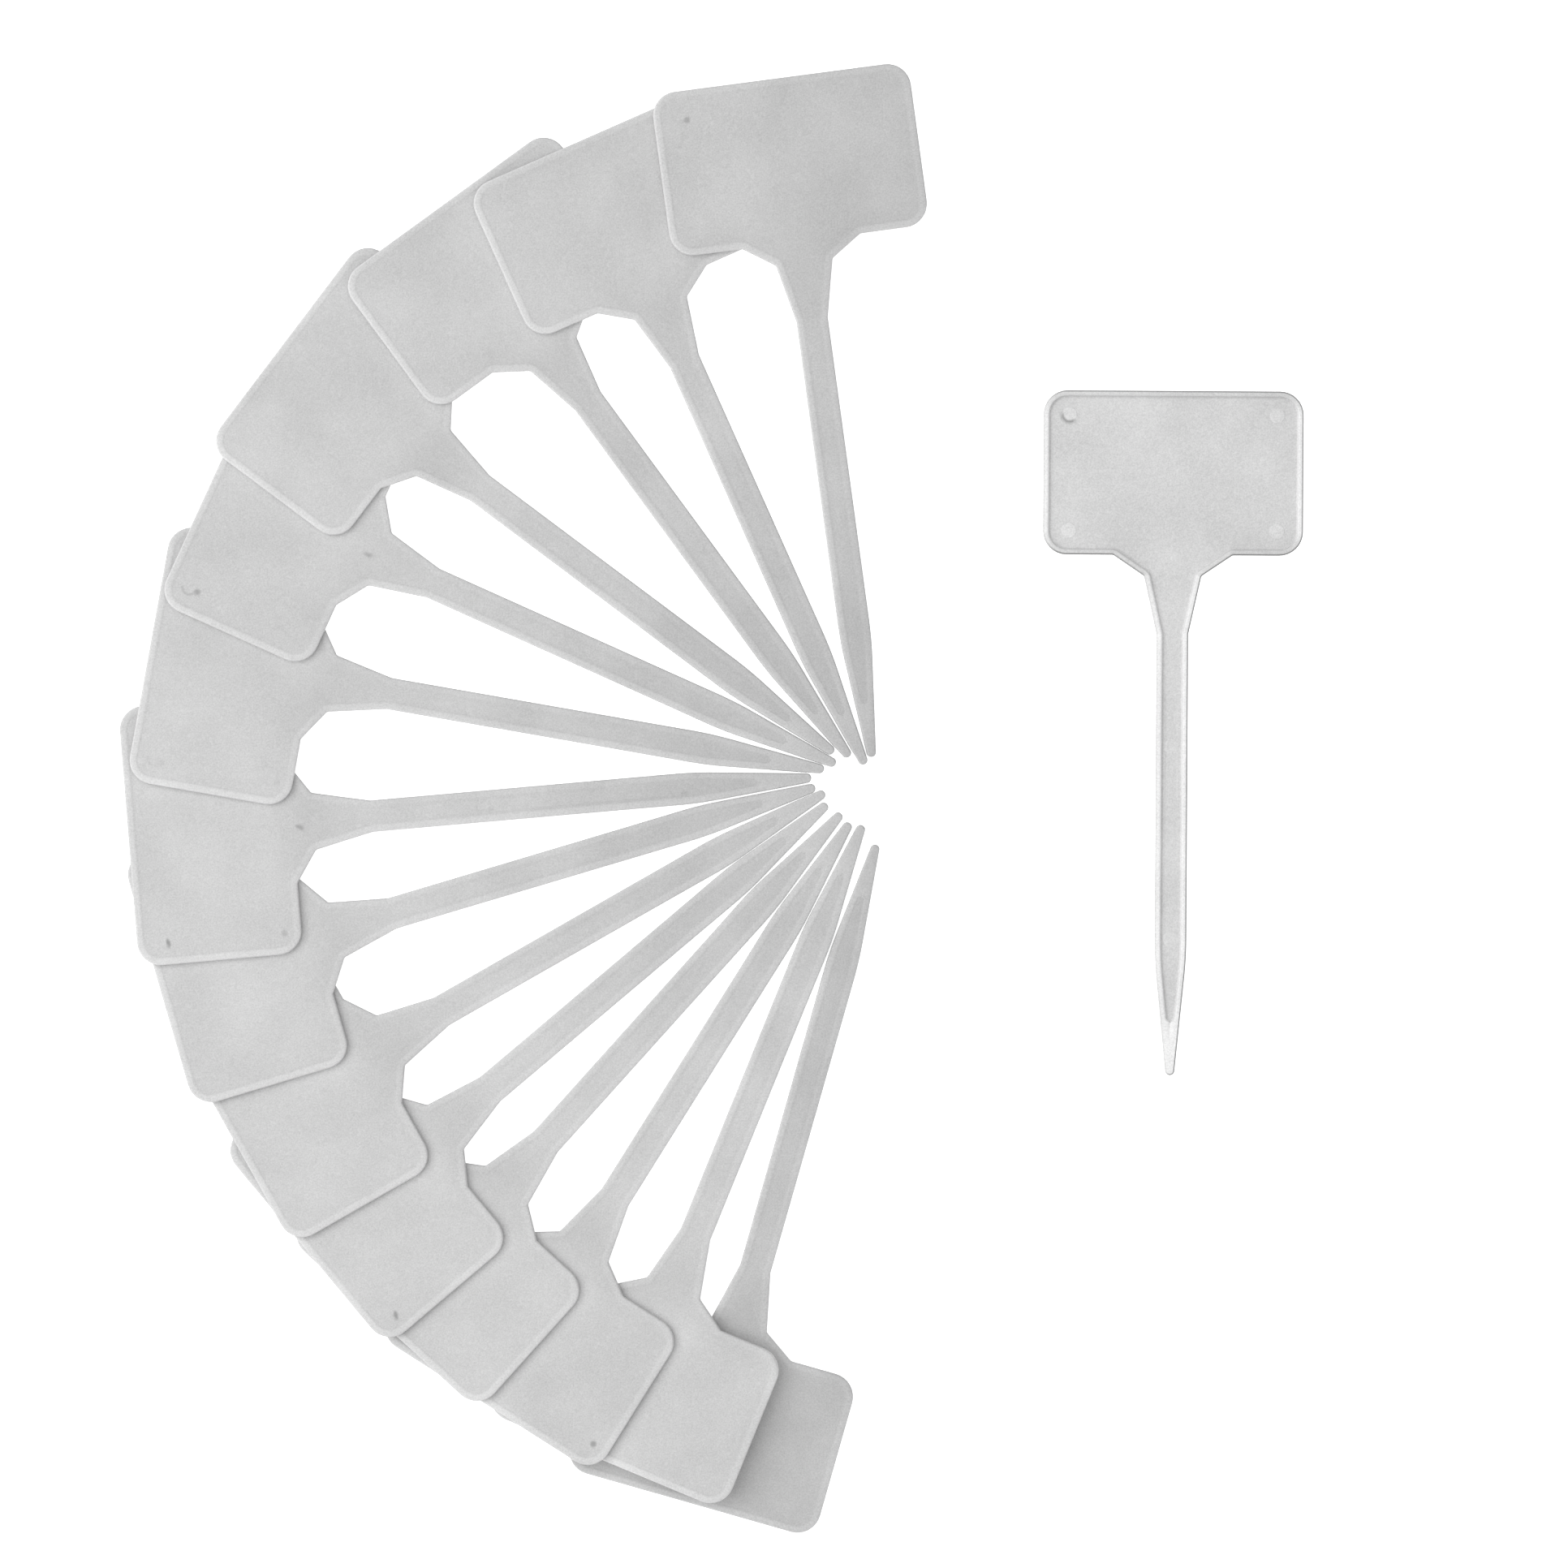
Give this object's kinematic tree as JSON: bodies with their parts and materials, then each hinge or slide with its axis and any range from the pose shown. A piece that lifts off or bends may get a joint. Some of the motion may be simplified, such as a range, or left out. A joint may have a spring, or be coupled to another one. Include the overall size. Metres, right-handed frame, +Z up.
{
  "type": "plant label stake set",
  "caption": "White plastic T-shaped plant label stakes with rimmed backs and pointed stems, most laid in an overlapping fan and another laid back up beside it.",
  "frame": {"origin": "on the surface that the stakes lie on, under the middle of the whole layout's box", "axes": "+Z up from the surface towards the viewer, +Y towards the head of the stake that lies by itself, +X from the fan towards that stake"},
  "size_m": [0.2594, 0.3218, 0.0085],
  "materials": {
    "white_plastic": "fine matt white moulding with a slight sheen"
  },
  "bodies": {
    "fan_stake_01": {"fan_stake_01": "white_plastic"},
    "fan_stake_02": {"fan_stake_02": "white_plastic"},
    "fan_stake_03": {"fan_stake_03": "white_plastic"},
    "fan_stake_04": {"fan_stake_04": "white_plastic"},
    "fan_stake_05": {"fan_stake_05": "white_plastic"},
    "fan_stake_06": {"fan_stake_06": "white_plastic"},
    "fan_stake_07": {"fan_stake_07": "white_plastic"},
    "fan_stake_08": {"fan_stake_08": "white_plastic"},
    "fan_stake_09": {"fan_stake_09": "white_plastic"},
    "fan_stake_10": {"fan_stake_10": "white_plastic"},
    "fan_stake_11": {"fan_stake_11": "white_plastic"},
    "fan_stake_12": {"fan_stake_12": "white_plastic"},
    "fan_stake_13": {"fan_stake_13": "white_plastic"},
    "fan_stake_14": {"fan_stake_14": "white_plastic"},
    "single_stake": {"single_stake": "white_plastic"}
  },
  "joints": [
    {"name": "fan_stake_02_lift", "type": "slide", "parent": "fan_stake_01", "child": "fan_stake_02", "axis": [0, 0, 1], "range_m": [0, 0.02]},
    {"name": "fan_stake_03_lift", "type": "slide", "parent": "fan_stake_02", "child": "fan_stake_03", "axis": [0, 0, 1], "range_m": [0, 0.02]},
    {"name": "fan_stake_04_lift", "type": "slide", "parent": "fan_stake_03", "child": "fan_stake_04", "axis": [0, 0, 1], "range_m": [0, 0.02]},
    {"name": "fan_stake_05_lift", "type": "slide", "parent": "fan_stake_04", "child": "fan_stake_05", "axis": [0, 0, 1], "range_m": [0, 0.02]},
    {"name": "fan_stake_06_lift", "type": "slide", "parent": "fan_stake_05", "child": "fan_stake_06", "axis": [0, 0, 1], "range_m": [0, 0.02]},
    {"name": "fan_stake_07_lift", "type": "slide", "parent": "fan_stake_06", "child": "fan_stake_07", "axis": [0, 0, 1], "range_m": [0, 0.02]},
    {"name": "fan_stake_08_lift", "type": "slide", "parent": "fan_stake_07", "child": "fan_stake_08", "axis": [0, 0, 1], "range_m": [0, 0.02]},
    {"name": "fan_stake_09_lift", "type": "slide", "parent": "fan_stake_08", "child": "fan_stake_09", "axis": [0, 0, 1], "range_m": [0, 0.02]},
    {"name": "fan_stake_10_lift", "type": "slide", "parent": "fan_stake_09", "child": "fan_stake_10", "axis": [0, 0, 1], "range_m": [0, 0.02]},
    {"name": "fan_stake_11_lift", "type": "slide", "parent": "fan_stake_10", "child": "fan_stake_11", "axis": [0, 0, 1], "range_m": [0, 0.02]},
    {"name": "fan_stake_12_lift", "type": "slide", "parent": "fan_stake_11", "child": "fan_stake_12", "axis": [0, 0, 1], "range_m": [0, 0.02]},
    {"name": "fan_stake_13_lift", "type": "slide", "parent": "fan_stake_12", "child": "fan_stake_13", "axis": [0, 0, 1], "range_m": [0, 0.02]},
    {"name": "fan_stake_14_lift", "type": "slide", "parent": "fan_stake_13", "child": "fan_stake_14", "axis": [0, 0, 1], "range_m": [0, 0.02]},
    {"name": "single_stake_lift", "type": "slide", "parent": "fan_stake_01", "child": "single_stake", "axis": [0, 0, 1], "range_m": [0, 0.05]}
  ]
}
